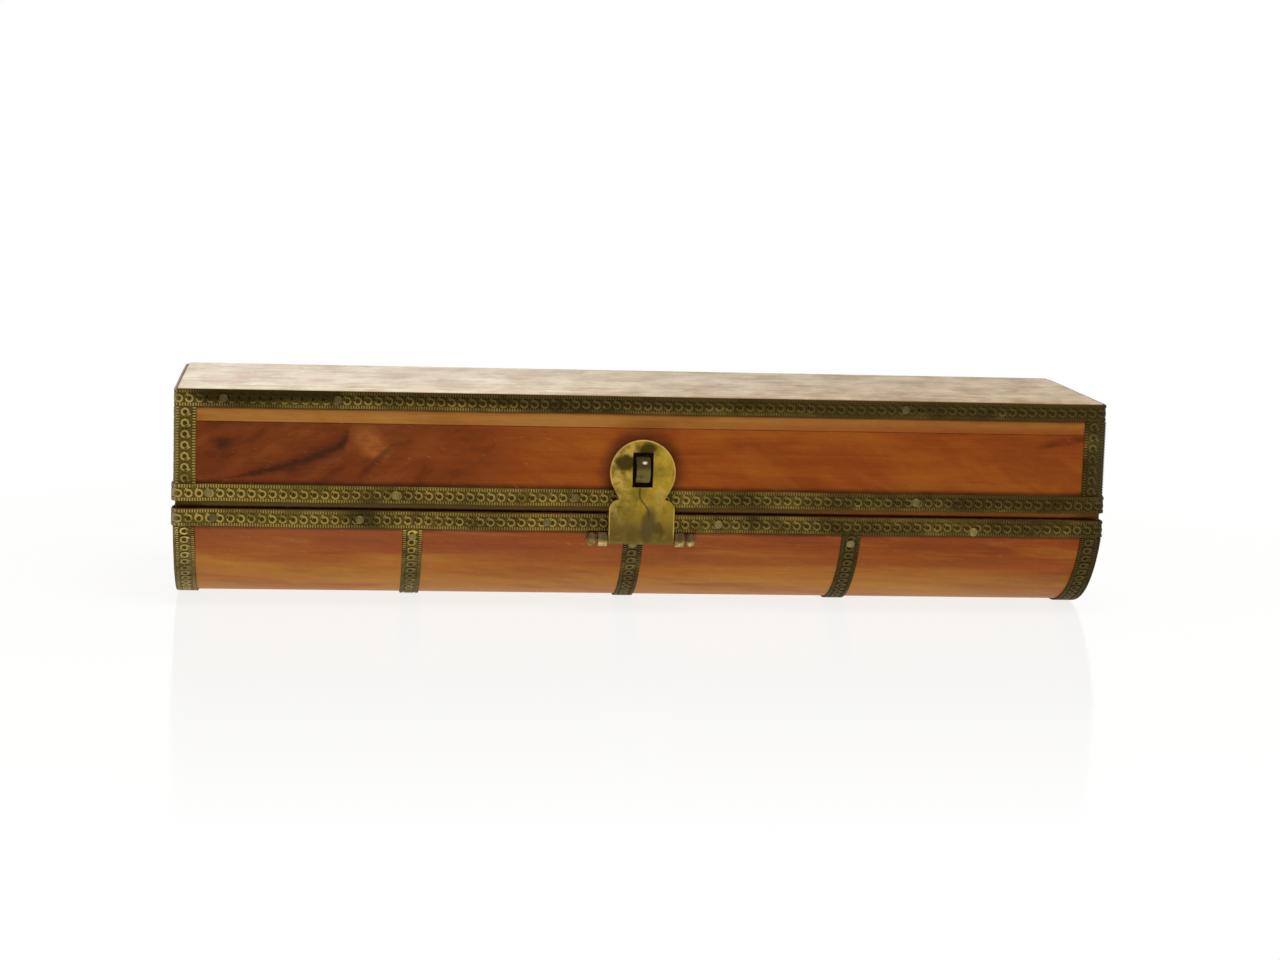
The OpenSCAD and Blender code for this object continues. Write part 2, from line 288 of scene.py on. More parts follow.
# Barrel
LOW_RED = (0.185, 0.04, 0.0085)
CROWN_YELLOW = (0.325, 0.14, 0.025)
GOLD_FIGURE = (0.325, 0.145, 0.021)
RUST_FIGURE = (0.215, 0.055, 0.012)
BROWN_VEIN = (0.13, 0.035, 0.01)
RED_VEIN = (0.19, 0.042, 0.0085)

# Bottom board: its bare underside, from its left end to its right one, with a painted washed-out reflection
# in its pale tones, and its varnished edges
LEFT_BARE_AND_SHEEN = (0.3, 0.205, 0.12), (0.56, 0.44, 0.3)
RIGHT_BARE_AND_SHEEN = (0.57, 0.44, 0.3), (0.87, 0.79, 0.63)
PINK_BARE_AND_SHEEN = (0.8, 0.6, 0.48)
RUSTY_EDGE = (0.25, 0.07, 0.01)
RED_EDGE = (0.225, 0.053, 0.007)

# Ribbon, tarnished and clean
FIELD_BRASS = (0.029, 0.018, 0.003), (0.1, 0.066, 0.011)
RAISED_BRASS = (0.083, 0.056, 0.0135), (0.285, 0.2, 0.045)
RIGHT_END_HIGHLIGHT = (0.37, 0.28, 0.08)
PIT_DIRT = (0.034, 0.021, 0.003)
FOLD_DIRT = (0.035, 0.028, 0.021)
FOLD_SHINE = (0.27, 0.2, 0.115)
PAINTED_EDGE_LIGHT = (0.4, 0.35, 0.26)
CROWN_FLOOR_REFLECTION = (0.17, 0.145, 0.085)
CORNER_DUST = (0.16, 0.13, 0.075)

# Hasp
HANDLED_BRASS = (0.375, 0.235, 0.02)
RUBBED_BRASS = (0.43, 0.3, 0.07)
DULL_BRASS = (0.185, 0.128, 0.017)
BROWN_BRASS = (0.11, 0.07, 0.0125)
BLACK_BRASS = (0.05, 0.032, 0.004)
PATCHED_BRASS = (0.2, 0.145, 0.03)
RUN_BROWN = (0.075, 0.05, 0.0165)
LOW_STAIN_BROWN = (0.095, 0.062, 0.014)
SCRATCH_BROWN = (0.06, 0.04, 0.008)
NICK_BROWN = (0.1, 0.062, 0.01)
RIM_BRASS = (0.52, 0.33, 0.1)

# Nails, staple and other fittings, bright and dark
FITTING_BRASS = (0.3, 0.205, 0.055), (0.1, 0.068, 0.02)
BEAD_BRASS = (0.37, 0.25, 0.085), (0.13, 0.08, 0.022)
NAIL_BRASS = (0.125, 0.094, 0.028), (0.088, 0.064, 0.018)
STAPLE_METAL = (0.135, 0.1, 0.027), (0.08, 0.055, 0.014)
RUBBED_NAIL = (0.2, 0.152, 0.048)
PAINTED_GLINT = (0.78, 0.7, 0.52)


# ---------------------------------------------------------------- materials

def grain_size(along, length, width):
    """The size of a pattern that is long along one axis."""
    size = [width, width, width]
    size["XYZ".index(along)] = length
    return tuple(size)


SLANT = (0, 24, 0)    # of mottle and scuffs to the grain, in degrees


def varnished_wood(name, dark, middle, light, along="X", marks=None):
    """Oiled red-brown wood: a broad figure, clouds, fine growth lines, fibres, open pores and scuffs."""
    shader = Shader(name)
    figure = shader.noise(grain_size(along, 60, 7), detail=5, roughness=0.6, distortion=0.8)
    cloud = shader.noise(grain_size(along, 26, 13), shift=(9, 4, 2), detail=2, distortion=0.4)
    lines = shader.noise(grain_size(along, 48, 0.9), detail=3, roughness=0.6, distortion=0.2)
    mottle = shader.noise(grain_size(along, 5.5, 2.0), SLANT, detail=4, roughness=0.65, distortion=0.9)
    fibre = shader.noise(grain_size(along, 8, 0.42), detail=3, roughness=0.6)
    pore = shader.noise(grain_size(along, 4.4, 0.4), shift=(0, 3, 5), detail=2).step(0.66, 0.76)
    scuff = shader.noise(grain_size(along, 3.4, 0.5), SLANT, (7, 1, 2), detail=2).step(0.68, 0.76)
    tone = (figure * 0.44 + cloud * 0.38 + lines * 0.18).step(0.33, 0.67)
    colour = shader.add("ShaderNodeValToRGB", {"stops": [(0.0, dark), (0.45, middle), (1.0, light)]},
                        {"Fac": tone})
    if marks:
        colour = marks(shader, colour)
    colour = shader.mix(scuff * 0.4, colour, SCUFFED_WOOD)
    colour = shader.tint(colour, 0.72 + fibre * 0.26 + mottle * 0.32 - pore * 0.22)
    return shader.finish(
        base_color=colour,
        roughness=0.4 + fibre * 0.16,
        specular_ior_level=0.045,
        normal=shader.bump(fibre * 0.5 - pore * 0.8 + mottle * 0.2, 0.2, 0.1),
    )


def soft_spot(distance, inner, outer):
    """1 inside a distance, 0 past another one."""
    return 1 - distance.step(inner, outer)


def oval(x, z, centre, half_width, half_height):
    """How far a place is from a centre, counted so that the oval of that size lies at 1."""
    across = (x - centre[0]) / half_width
    up = (z - centre[1]) / half_height
    return (across * across + up * up).math("SQRT")


def outer_face(y):
    """1 on the case's long outer faces and 0 on the inner ones."""
    return abs(y).step(HALF_DEPTH - 2.5, HALF_DEPTH - 1.5)


def ribbon_edge_shade_and_grime(shader, colour, y, z, *edges):
    """Painted contact shade, with some grime, in the wood along the edges of ribbons, each given as its
    height and how far it reaches.
    """
    darkening = shader.noise((7, 7, 2), detail=3, roughness=0.6)
    for edge, reach in edges:
        # painted contact shade, with some grime, where a ribbon's edge meets the wood
        line = soft_spot(abs(z - edge), 0.15, reach) * (0.35 + darkening * 0.9).clamped() * outer_face(y)
        colour = shader.mix(line * 0.8, colour, BLACK_STAIN_AND_SHADE)
    return colour


# Places on the front wall, in X and Z
STREAK_TIP = (76.3, 11.3)
KNOT = (108, 13.8)
FLAME = (70.3, 13.6)
FLAME_TAIL = (73.8, 22.4)
SMUDGE = (-110, 10.2)
HASP_SHADOW_RADII = (8.4, 12.5)      # full painted shadow, and none, round the lobe's middle
# painted shade behind the lobe: full, and none, this far from its middle
UNDER_HASP_SHADE_RADII = (5, 7)
RIM_EDGE_SHADE = (24.4, 1.5)      # the height of the painted shade and grime there, and its reach
STREAK_RISE = 2.08      # the dark streak climbs with the root of its length
STREAK_HALF = 1.7       # half its width at the tip


def red_end_figure(shader, colour, x, z, wobble, ripple):
    """The front wall is redder at its right end, with a dark streak, a knot and a pale flame."""
    red_end = (x + wobble * 40).step(6, 76)
    colour = shader.mix(red_end * 0.8, colour, RED_STAIN)
    patch = shader.noise((15, 15, 6), (0, -26, 0), (4, 0, 2), detail=4, roughness=0.6)
    colour = shader.mix(patch.step(0.5, 0.62) * red_end * 0.5, colour, ROSE_FIGURE)
    colour = shader.mix(soft_spot(patch, 0.36, 0.46) * red_end * 0.5, colour, DARK_FIGURE)

    past_tip = (x - STREAK_TIP[0]).higher(0)
    middle = past_tip.math("SQRT") * STREAK_RISE + STREAK_TIP[1]
    half = (STREAK_HALF - past_tip * 0.05).higher(0.25)
    off_line = abs(z - middle + wobble * 2.4 + ripple * 2.6) / half
    along = (x + ripple * 3).step(75, 77.5) * (1 - x.step(99, 113))
    colour = shader.mix(soft_spot(off_line, 0.6, 3.0) * along * 0.62, colour, STREAK_SHADE)
    colour = shader.mix(soft_spot(off_line, 0.1, 1.3) * along * 0.7, colour, BLACK_STAIN_AND_SHADE)

    knot = oval(x + wobble * 3 + ripple * 2, z + ripple * 2.5, KNOT, 3.6, 2.4)
    colour = shader.mix(soft_spot(knot, 0.1, 1.1) * 0.7, colour, BLACK_STAIN_AND_SHADE)
    flame = oval(x + (z - FLAME[1]) * 0.5 + ripple * 4, z + wobble * 6, FLAME, 4.6, 5.0)
    colour = shader.mix(soft_spot(flame, 0.35, 1.15) * (0.75 + ripple * 2).clamped(), colour, PALE_FLAME)
    tail = abs(z - FLAME_TAIL[1] + (FLAME_TAIL[0] - x) * 0.9 + ripple * 2)
    tail = soft_spot(tail, 0.4, 1.8) * x.step(64, 67) * soft_spot(x, 72, 75)
    return shader.mix(tail * 0.6, colour, FLAME_SHADE)


def plain_end_figure(shader, colour, x, z, wobble, ripple):
    """The front wall's left end is plainer: soft red and orange clouds, and one smudge."""
    smudge = oval(x + wobble * 8, z - (x - SMUDGE[0]) * 0.2 + ripple * 1.6, SMUDGE, 11, 1.5)
    colour = shader.mix(soft_spot(smudge, 0.3, 1.1) * 0.7, colour, BROWN_SMUDGE)
    blush = shader.noise((26, 26, 9), (0, 28, 0), (11, 0, 3), detail=3, roughness=0.55)
    plain_end = soft_spot(x, -5, 45)
    colour = shader.mix(blush.step(0.5, 0.62) * plain_end * 0.55, colour, RED_BLUSH)
    colour = shader.mix(soft_spot(blush, 0.36, 0.47) * plain_end * 0.35, colour, ORANGE_BLUSH)
    return shader.tint(colour, 1 - soft_spot(x, -60, 10) * 0.09)


def front_wall_marks(shader, colour):
    """The front wall's figure, a painted shadow round the hasp, painted contact shade and grime along the
    ribbons, and a darker olive tone on its top edge.
    """
    x, y, z = shader.axes()
    wobble = shader.noise((11, 11, 6), detail=5, roughness=0.62) - 0.5
    ripple = shader.noise((3, 3, 1.5), detail=4, roughness=0.65) - 0.5
    colour = red_end_figure(shader, colour, x, z, wobble, ripple)
    colour = plain_end_figure(shader, colour, x, z, wobble, ripple)
    outside = outer_face(y)
    from_lobe = oval(x, z, (HASP_X, LOBE_Z), 1, 1)
    # painted shadow of the hasp plate round its lobe, and painted shade behind the lobe
    round_lobe = soft_spot(from_lobe, *HASP_SHADOW_RADII)
    colour = shader.mix(round_lobe * 0.65 * outside, colour, HASP_SHADOW)
    under_lobe = soft_spot(from_lobe, *UNDER_HASP_SHADE_RADII)
    colour = shader.mix(under_lobe * outside, colour, UNDER_HASP_SHADE)
    # a darker olive tone along the wall's top edge, by the joint
    lip = (z + ripple * 0.6).step(RIM_TOP - 0.3, RIM_TOP + 0.2)
    lip = lip * (1 - soft_spot(x + wobble * 50, -64, -30) * 0.5)
    colour = shader.mix(lip * 0.9 * outside, colour, OLIVE_LIP)
    return ribbon_edge_shade_and_grime(shader, colour, y, z, RIM_EDGE_SHADE, (BOARD_TOP, 0.25))


VEIN_Z = 43.4      # of a red vein along the barrel's front


def lid_marks(shader, colour):
    """The barrel is red-brown by its ribbon and grows paler and yellower towards its crown."""
    x, y, z = shader.axes()
    wobble = shader.noise((70, 9, 9), detail=5, roughness=0.62) - 0.5
    vein = shader.noise((60, 60, 3.2), shift=(5, 0, 1), detail=4, roughness=0.6)
    gold = shader.noise((40, 40, 4.6), (0, 4, 0), (0, 6, 3), detail=4, roughness=0.6)
    left_end = soft_spot(x + wobble * 30, -108, -80)
    low = soft_spot(z + wobble * 12, 38, 44)
    high = (z + wobble * 20).step(38, 50)
    colour = shader.mix(low * (0.5 - left_end * 0.25), colour, LOW_RED)
    colour = shader.mix(high * (0.7 - left_end * 0.3), colour, CROWN_YELLOW)
    colour = shader.mix(gold.step(0.51, 0.62) * (0.25 + high * 0.35), colour, GOLD_FIGURE)
    colour = shader.mix(soft_spot(gold, 0.37, 0.47) * 0.45, colour, RUST_FIGURE)
    colour = shader.mix(vein.step(0.62, 0.7) * 0.35, colour, BROWN_VEIN)
    red_vein = soft_spot(abs(z - VEIN_Z + wobble * 5), 0.5, 2.3) * soft_spot(x + wobble * 60, 0, 40)
    colour = shader.mix(red_vein * 0.6, colour, RED_VEIN)
    colour = shader.tint(colour, 1 + left_end * (0.12 - z.step(44, 47) * 0.22))
    return ribbon_edge_shade_and_grime(shader, colour, y, z, (LID_RIM_TOP, 1.1), (LID_BOTTOM, 0.8))


def board_marks(shader, colour):
    """The bottom board's bare underside is dry and blotched, and palest at its right end. Its pale tones
    carry a painted washed-out reflection.

    Its varnished edges are redder at the left, most of all next to the walls."""
    x, y, z = shader.axes()
    streak = shader.noise((30, 3.4, 2.6), detail=6, roughness=0.7)
    blotch = shader.noise((13, 24, 9), (0, 0, 14), detail=6, roughness=0.66)
    pink = shader.noise((15, 30, 9), (0, 0, -20), (3, 8, 0), detail=4, roughness=0.6).step(0.46, 0.6)
    cloud = shader.noise((24, 10, 10), detail=3) - 0.5
    dry = (streak * 0.38 + blotch * 0.62).step(0.36, 0.63)
    # pale bare wood, with a painted washed-out reflection
    right = shader.mix(pink * 0.4, shader.mix(dry, *RIGHT_BARE_AND_SHEEN), PINK_BARE_AND_SHEEN)
    bare_and_sheen = shader.mix((x + cloud * 90).step(-80, 110), shader.mix(dry, *LEFT_BARE_AND_SHEEN), right)
    left_part = soft_spot(x + cloud * 30, -90, 60)
    colour = shader.mix(left_part * 0.2, colour, RUSTY_EDGE)
    colour = shader.tint(colour, 1 - left_part * 0.1)
    by_walls = (z + cloud * 2).step(BOARD_TOP - 3, BOARD_TOP - 0.2)
    colour = shader.mix(left_part * by_walls * 0.75, colour, RED_EDGE)
    underside = soft_spot(z, 0.15, 0.45)
    colour = shader.mix(underside, colour, bare_and_sheen)
    return ribbon_edge_shade_and_grime(shader, colour, y, z, (FOOT_TOP, 0.7))


CRUSHED_FROM, CRUSHED_TO = (77, 79), (109, 118)   # the soft ends, in X, of the foot ribbon's crushed stretch


RIM_MARKS_Z = 27.4      # the middle of the rim ribbon's marks


def on_rim_ribbon(z):
    """1 on the base's rim ribbon and 0 on the ribbons above and below it."""
    return soft_spot(abs(z - RIM_MARKS_Z), 2.6, 3.2)


def folded_edges(shader, colour, x, y, z):
    """The ribbons' folds at the front corners are pale at the right and dark at the left, and the foot
    ribbon's lower edge at the right end gets painted light."""
    front_fold = (abs(x) - HALF_LENGTH).step(-0.8, -0.1) * soft_spot(y + HALF_DEPTH, 1, 2)
    fold_colour = shader.mix(x.step(-1, 1), FOLD_DIRT, FOLD_SHINE)
    colour = shader.mix(front_fold * 0.6, colour, fold_colour)
    past_end = x - HALF_LENGTH
    # painted light on the foot ribbon's lower edge at the right end
    under_edge = soft_spot(z, 0.7, 1.0) * past_end.step(-0.2, -0.05) * soft_spot(past_end, 0.38, 0.48)
    return shader.mix(under_edge * 0.9, colour, PAINTED_EDGE_LIGHT)


def stamped_ribbon():
    """Ribbon whose hollows are brown-black with tarnish and whose raised work is rubbed to dull brass.

    It is darker low on the base and over the barrel, and here and there its stamping is worn flat."""
    shader = Shader("stamped_ribbon")
    x, y, z = shader.axes()
    relief = shader.add("ShaderNodeAttribute", {"attribute_type": "GEOMETRY", "attribute_name": "relief"},
                        output="Fac")
    grime = shader.noise((20, 12, 12), detail=5, roughness=0.7)
    speck = shader.noise((1.3, 1.3, 1.3), detail=3, roughness=0.6)
    flat = shader.noise((9, 7, 7), shift=(3, 7, 1), detail=3, roughness=0.6).step(0.5, 0.64)
    drift = grime - 0.5
    on_foot = soft_spot(z, FOOT_TOP + 0.2, FOOT_TOP + 1.2)
    on_barrel = z.step(LID_RIM_TOP + 0.5, LID_RIM_TOP + 2.7)

    # darker low on the foot ribbon, a little above it, and over the barrel
    darkening = soft_spot(z, 1.8, 3.4) * 0.26 + soft_spot(z, 3, 8) * 0.09 + on_barrel * 0.14
    darkening = darkening + soft_spot(x + drift * 60, -60, 10) * on_rim_ribbon(z) * 0.06
    crushed = x.step(*CRUSHED_FROM) * (1 - x.step(*CRUSHED_TO))
    crushed = crushed * soft_spot(y + HALF_DEPTH, 0, 1) * on_foot
    clean = (1.01 - grime + x * 0.0014 - darkening - crushed * 0.14).step(0.3, 0.68)

    crushed = crushed * soft_spot(z, 3.2, 3.7)
    flat = flat.higher(crushed * 1.5)
    worn = (relief * (1 - flat * 0.6) + (speck - 0.5) * 0.7).step(0.12, 0.9)
    muddy = (soft_spot(x + drift * 120, -75, 15) * 0.3).higher(z.step(37, 41) * 0.38)
    muddy = muddy.higher(on_foot * soft_spot(x + drift * 60, -50, 40) * 0.52)
    worn = worn * (1 - muddy) + muddy * 0.45

    raised = shader.mix(clean, *RAISED_BRASS)
    # painted highlight on the raised work at the right end
    raised = shader.mix(x.step(92, 118) * clean * 0.6, raised, RIGHT_END_HIGHLIGHT)
    colour = shader.mix(worn, shader.mix(clean, *FIELD_BRASS), raised)
    pit = soft_spot(relief, PIT_RELIEF + 0.1, -0.1) * (1 - crushed)
    colour = shader.mix(pit * 0.7, colour, PIT_DIRT)
    colour = folded_edges(shader, colour, x, y, z)
    # painted reflection of the pale floor: the ribbons grow lighter towards the crown
    colour = shader.mix(z.step(39, 50) * clean * 0.28, colour, CROWN_FLOOR_REFLECTION)
    left_corner = soft_spot(x, -119, -114) * z.step(4, 5) * soft_spot(z, 26, 27)
    colour = shader.mix(left_corner * 0.1, colour, CORNER_DUST)
    return shader.finish(
        base_color=colour,
        metallic=0.1 + worn * 0.22,
        roughness=0.62 - worn * 0.14,
        specular_ior_level=0.05,
        normal=shader.bump(speck, 0.35, 0.12),
    )


def rubbed_nails(x, z):
    """1 on the nails that hands keep bright: the rim's at the right, the lid's at the left, the straps'."""
    rim = on_rim_ribbon(z) * x.step(15, 25)
    lid = z.step(LID_BOTTOM + 0.3, LID_BOTTOM + 1.3) * soft_spot(x, -14, -10)
    return rim.higher(lid).higher(z.step(LID_RIM_TOP + 0.7, LID_RIM_TOP + 1.7))


STAPLE_PAINTED_GLINT = (0.7, 16.9)      # where the staple's painted glint lies, in X and Z


def aged_brass(name, bright_and_dark, patch_size, roughness, metallic=0.5, specular=0.2, darker_below=None,
               rubbed=None, glint=None):
    """Brass in soft bright and dark patches.

    It may be darker below a height, given as (all, none), which on the staple is painted shade, rubbed
    bright where a function of X and Z says so, and given a painted glint at one X and Z."""
    shader = Shader(name)
    x, _, z = shader.axes()
    patch = shader.noise((patch_size,) * 3, detail=5, roughness=0.62, distortion=0.3)
    dull = patch.step(0.42, 0.62)
    colour = shader.mix(dull, *bright_and_dark)
    scuff = shader.noise((2, 2, 0.4), detail=3)
    # darker below a height: on the staple this is painted shade
    if darker_below:
        darkening = soft_spot(z + (scuff - 0.5) * 1.2, *darker_below)
        colour = shader.mix(darkening * 0.8, colour, DARKER_BROWN)
        dull = dull.higher(darkening)
    if rubbed:
        colour = shader.mix(rubbed(x, z) * 0.8, colour, RUBBED_NAIL)
    # a painted glint: a highlight put into the colour
    if glint:
        spot = oval(x + (scuff - 0.5) * 0.6, z, glint, 0.75, 0.4)
        colour = shader.mix(soft_spot(spot, 0.3, 1.2) * 0.9, colour, PAINTED_GLINT)
    return shader.finish(
        base_color=colour,
        metallic=metallic * (1 - dull * 0.8),
        roughness=roughness + dull * 0.2 + (scuff - 0.5) * 0.12,
        specular_ior_level=specular,
        normal=shader.bump(scuff, 0.15, 0.05),
    )


# The hasp's stains, from its middle in X, and in Z
SIDE_STAIN = (4.4, 17.0)
SLOT_STAIN = (-0.9, 13.5)
DARK_RUN = (-1.6, 33.5)
CORNER_STAIN = (-4.4, 34.4)
LOW_STAIN = (4, 35.6)
SCRATCH_X = 0.6


def hasp_stains(shader, colour, x, z, wobble, cloud):
    """Black stains by the slot, a dark run and two stains by the pin, and a mask of the grimy ones."""
    side_stain = oval(x + wobble * 3, z + wobble * 2.4, SIDE_STAIN, 3.6, 2.1)
    slot_stain = oval(x + wobble * 3, z - wobble * 2, SLOT_STAIN, 3.0, 1.9)
    stain = soft_spot(side_stain, 0.6, 1.15).higher(soft_spot(slot_stain, 0.55, 1.2))
    colour = shader.mix(stain, colour, BLACK_BRASS)
    run = soft_spot(oval(x - (z - DARK_RUN[1]) * 0.12 + wobble * 2.4, z, DARK_RUN, 2.1, 5.8), 0.5, 1.15)
    colour = shader.mix(run * 0.85, colour, RUN_BROWN)
    corner = oval(x + wobble * 3, z + wobble * 3, CORNER_STAIN, 2.1, 2.3)
    colour = shader.mix(soft_spot(corner, 0.4, 1.1) * 0.7, colour, BLACK_BRASS)
    low_stain = oval(x + wobble * 4, z + cloud * 8, LOW_STAIN, 5.4, 3.4)
    colour = shader.mix(soft_spot(low_stain, 0.4, 1.15) * 0.6, colour, LOW_STAIN_BROWN)
    return colour, stain.higher(run)


def hasp_brass():
    """Handled brass: yellow where it is rubbed, brown by the pin, stained, scratched and bright-edged."""
    shader = Shader("hasp_brass")
    x, _, z = shader.axes()
    x = x - HASP_X
    wobble = shader.noise((2.8, 2.8, 2.8), detail=5, roughness=0.65) - 0.5
    cloud = shader.noise((6, 6, 6), shift=(2, 1, 5), detail=4, roughness=0.6) - 0.5
    nick = shader.noise((1.3, 1.3, 0.7), detail=2).step(0.64, 0.72)
    colour = shader.mix((cloud * 2 + wobble - x * 0.025).step(-0.4, 0.3), DULL_BRASS, HANDLED_BRASS)
    rubbed = (abs(x) * 0.03 + x * 0.012 + cloud * 2 + wobble).step(0.05, 0.5)
    colour = shader.mix(rubbed * 0.8, colour, RUBBED_BRASS)
    colour = shader.tint(colour, 1 - (z + cloud * 8).step(23.5, 27) * 0.22)
    by_pin = (z + wobble * 6 + cloud * 12).step(29.5, 35.5)
    colour = shader.mix(by_pin * 0.9, colour, BROWN_BRASS)
    patch = (wobble * 2 + cloud * 1.5).step(-0.1, 0.25) * z.step(28, 31)
    colour = shader.mix(patch * 0.55, colour, PATCHED_BRASS)
    colour, grime = hasp_stains(shader, colour, x, z, wobble, cloud)

    off_scratch = abs(x - SCRATCH_X + z.step(25.5, 30) * 2.4 + wobble * 0.7)
    scratch = soft_spot(off_scratch, 0.12, 0.42) * z.step(23.4, 23.9) * soft_spot(z, 30, 33)
    colour = shader.mix(scratch * 0.8, colour, SCRATCH_BROWN)
    colour = shader.mix(nick * 0.6, colour, NICK_BROWN)
    from_lobe = oval(x, z, (0, LOBE_Z), LOBE_RADIUS, LOBE_RADIUS)
    rim = from_lobe.step(0.94, 0.985) * soft_spot(z, 22, 24)
    rim = rim.higher(abs(x / LOBE_RADIUS).step(0.95, 0.985) * z.step(28, 29) * soft_spot(z, 35, 37.5))
    colour = shader.mix(rim * (0.7 + wobble), colour, RIM_BRASS)
    grime = grime.higher(by_pin * 0.6)
    return shader.finish(
        base_color=colour,
        metallic=0.42 - grime * 0.4,
        roughness=0.42 + grime * 0.16,
        specular_ior_level=0.03,
        normal=shader.bump(wobble * 0.5 + cloud - scratch * 0.4, 0.3, 0.2),
    )


# ---------------------------------------------------------------- making pieces

def new_piece(name, mesh, material, body, slot, *nodes):
    """Puts a finished mesh in the scene, on its body, in place of the nodes that it stands for."""
    piece = bpy.data.objects.new(name, mesh)
    bpy.context.collection.objects.link(piece)
    mesh.materials.clear()
    mesh.materials.append(material)
    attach(piece, body)
    if nodes:
        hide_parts(*nodes)
    return piece


def finished_mesh(bm, name, smooth_angle=40):
    """A mesh made from a bmesh, smooth but for every edge sharper than the angle, in degrees."""
    mesh = bpy.data.meshes.new(name)
    bm.to_mesh(mesh)
    bm.free()
    mesh.shade_smooth()
    mesh.set_sharp_from_angle(angle=math.radians(smooth_angle))
    return mesh


def round_off(bm, edges, width, segments):
    bmesh.ops.bevel(bm, geom=edges, offset=width * MM, offset_type="OFFSET", affect="EDGES",
                    segments=segments, profile=0.5, clamp_overlap=True, material=-1)


SHARP_ANGLE = math.radians(30)
TOLERANCE = 0.01      # in millimetres


def sharp_edges(bm):
    """The edges to round: all sharp ones but those along the joint between board and walls."""
    return [e for e in bm.edges if len(e.link_faces) == 2 and e.calc_face_angle(0) > SHARP_ANGLE
            and not all(abs(v.co.z / MM - BOARD_TOP) < TOLERANCE for v in e.verts)]


def at_case_corner(edge):
    """Whether an edge is one of the case's own upright corners."""
    return all(abs(v.co.x) / MM > HALF_LENGTH - TOLERANCE and abs(v.co.y) / MM > HALF_DEPTH - TOLERANCE
               for v in edge.verts)


def softened(node, name, material, body, slot, rounding, segments=3):
    """A copy of a node with its sharp edges rounded, the most at the case's upright corners."""
    bm = bmesh.new()
    bm.from_mesh(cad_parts[node].data)
    bmesh.ops.remove_doubles(bm, verts=bm.verts, dist=0.001 * MM)
    bmesh.ops.dissolve_limit(bm, angle_limit=math.radians(0.5), verts=bm.verts, edges=bm.edges)
    corners = [e for e in sharp_edges(bm) if at_case_corner(e)]
    if corners:
        round_off(bm, corners, FOLD_RADIUS, 4)
    round_off(bm, sharp_edges(bm), rounding, segments)
    return new_piece(name, finished_mesh(bm, name), material, body, slot, node)


def dress(node, material):
    """Gives a carried-over node its material."""
    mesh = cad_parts[node].data
    mesh.materials.clear()
    mesh.materials.append(material)


def beaded_pin(node, name, material, body, slot):
    """The hasp's pin: a thin rod with a round bead at each end."""
    low, high = node_box(node)
    middle = (low + high) / 2
    half, radius = (high.x - low.x) / 2, (high.z - low.z) / 2
    bm = bmesh.new()
    rod = Matrix.Translation(middle) @ Matrix.Rotation(math.pi / 2, 4, "Y")
    bmesh.ops.create_cone(bm, cap_ends=True, cap_tris=False, segments=20, radius1=PIN_RADIUS,
                          radius2=PIN_RADIUS, depth=2 * half - BEAD_WIDTH, matrix=rod)
    for side in (-1, 1):
        bead = Matrix.Translation(middle + Vector((side * (half - BEAD_WIDTH / 2), 0, 0)))
        bmesh.ops.create_uvsphere(bm, u_segments=28, v_segments=16, radius=1,
                                  matrix=bead @ Matrix.Diagonal((BEAD_WIDTH / 2, radius, radius, 1)))
    bmesh.ops.scale(bm, verts=bm.verts, vec=(MM, MM, MM))
    return new_piece(name, finished_mesh(bm, name), material, body, slot, node)


# ---------------------------------------------------------------- stamped ribbon

SCROLL_PITCH = 2.64
RING_RADIUS = 0.88    # of a scroll's ring, to the middle of its ridge
RIDGE_WIDTH = 0.68    # of a scroll's ridge at its foot
CREST_WIDTH = 0.4
RING_DROP = 0.2       # from the ribbon's middle
TAIL_RADIUS = 2.4
TAIL_TURN = math.radians(36)
PIT_RADIUS = 0.42     # of the dark hollow inside a ring
PIT_LIFT = 0.01       # the hollow's disc lies this far over the field
PIT_RELIEF = -1.0     # the relief that marks the disc, where the field has 0 and a crest 1
RIBS_PER_SCROLL = 4   # of the milled edges
RIB_LENGTH = 1.0
RIB_WIDTH = 0.4
FIELD_Z = RIBBON_THICKNESS * 0.5
RAIL_Z = RIBBON_THICKNESS * 0.6
RAIL_WIDTH = 0.8
RIDGE_FOOT_Z = FIELD_Z * 0.9
WAVE = 0.09           # how far a ribbon strays from its line, laid by hand
WAVE_LENGTH = 47
LAP_REACH = 7.5       # how far from a corner a ribbon that laps over another comes down to the wood
LAP_SLOPE = 2.5
LAP_LINES = (-LAP_REACH, LAP_SLOPE - LAP_REACH, LAP_REACH - LAP_SLOPE, LAP_REACH)
BEND_STEP = math.radians(9)
X, Y, Z = Vector((1, 0, 0)), Vector((0, 1, 0)), Vector((0, 0, 1))


def pointing(angle):
    return Vector((math.cos(angle), math.sin(angle)))


def right_of(angle):
    return Vector((math.sin(angle), -math.cos(angle)))


